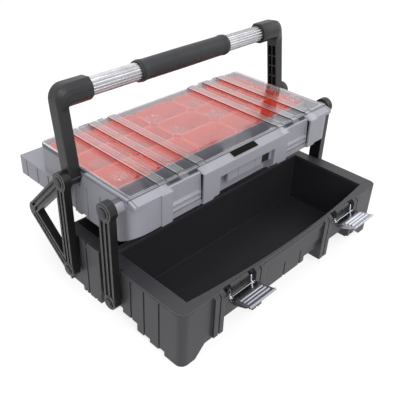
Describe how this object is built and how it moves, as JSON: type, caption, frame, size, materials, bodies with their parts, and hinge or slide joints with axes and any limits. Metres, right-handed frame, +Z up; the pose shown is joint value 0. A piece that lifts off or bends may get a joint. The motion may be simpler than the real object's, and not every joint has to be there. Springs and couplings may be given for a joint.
{
  "type": "cantilever tool box",
  "caption": "Plastic cantilever tool box: a deep tub under a bin organizer with clear lid that swings up on side links, with a folding carry handle and draw latches.",
  "frame": {"origin": "centre of the tub footprint on the ground plane", "axes": "+X to the right along the length, +Y to the back, +Z up; the front with the latches faces -Y"},
  "size_m": [0.5834, 0.4952, 0.3768],
  "materials": {
    "black_plastic": "fine grained dark polypropylene",
    "grey_plastic": "satin grey polypropylene",
    "red_plastic": "smooth red orange polypropylene",
    "clear_plastic": "clear polycarbonate sheet",
    "steel": "zinc plated pressed steel",
    "aluminium": "bright anodized extrusion",
    "rubber": "matt grip rubber"
  },
  "bodies": {
    "tub": {"tub": "black_plastic", "lower_pins": "black_plastic", "latch_plate_left": "steel", "latch_plate_right": "steel", "plate_screws": "steel"},
    "front_links": {"link_front_left": "black_plastic", "link_front_right": "black_plastic"},
    "rear_links": {"link_rear_left": "black_plastic", "link_rear_right": "black_plastic"},
    "organizer": {"organizer": "grey_plastic", "upper_front_pins": "black_plastic", "upper_rear_pins": "black_plastic", "pivot_bosses": "grey_plastic", "badge_plate": "black_plastic", "bins_front": "red_plastic", "bins_middle": "red_plastic", "bins_rear": "red_plastic", "lid_hinge_pins": "steel"},
    "lid": {"lid": "clear_plastic", "lid_catches": "grey_plastic"},
    "handle": {"handle_arm_left": "black_plastic", "handle_arm_right": "black_plastic", "handle_tube": "aluminium", "handle_grip": "rubber", "handle_rings": "aluminium"},
    "bail_left": {"bail_left": "steel"},
    "bail_right": {"bail_right": "steel"},
    "lever_left": {"lever_left": "steel"},
    "lever_right": {"lever_right": "steel"}
  },
  "joints": [
    {"name": "front_link_swing", "type": "hinge", "parent": "tub", "child": "front_links", "pos_m": [0, 0.0035, 0.045], "axis": [1, 0, 0], "range_deg": [0, 39.5]},
    {"name": "organizer_level", "type": "hinge", "parent": "front_links", "child": "organizer", "pos_m": [0, 0.00444, 0.224], "axis": [1, 0, 0], "range_deg": [-39.6, 0.1]},
    {"name": "rear_link_swing", "type": "hinge", "parent": "tub", "child": "rear_links", "pos_m": [0, 0.1175, 0.045], "axis": [1, 0, 0], "range_deg": [-0.1, 39.6]},
    {"name": "lid_hinge", "type": "hinge", "parent": "organizer", "child": "lid", "pos_m": [0, 0.2305, 0.236], "axis": [-1, 0, 0], "range_deg": [0, 36]},
    {"name": "handle_fold", "type": "hinge", "parent": "organizer", "child": "handle", "pos_m": [0, 0.11844, 0.224], "axis": [-1, 0, 0], "range_deg": [0, 82.3]},
    {"name": "bail_left_swing", "type": "hinge", "parent": "tub", "child": "bail_left", "pos_m": [-0.147, -0.1526, 0.104], "axis": [-1, 0, 0], "range_deg": [0, 85]},
    {"name": "lever_left_turn", "type": "hinge", "parent": "bail_left", "child": "lever_left", "pos_m": [-0.147, -0.1606, 0.09], "axis": [1, 0, 0], "range_deg": [0, 85]},
    {"name": "bail_right_swing", "type": "hinge", "parent": "tub", "child": "bail_right", "pos_m": [0.147, -0.1526, 0.104], "axis": [-1, 0, 0], "range_deg": [0, 85]},
    {"name": "lever_right_turn", "type": "hinge", "parent": "bail_right", "child": "lever_right", "pos_m": [0.147, -0.1606, 0.09], "axis": [1, 0, 0], "range_deg": [0, 85]}
  ],
  "couplings": [
    {"joint": "organizer_level", "follows": "front_link_swing", "ratio": -1},
    {"joint": "rear_link_swing", "follows": "front_link_swing", "ratio": 1}
  ]
}
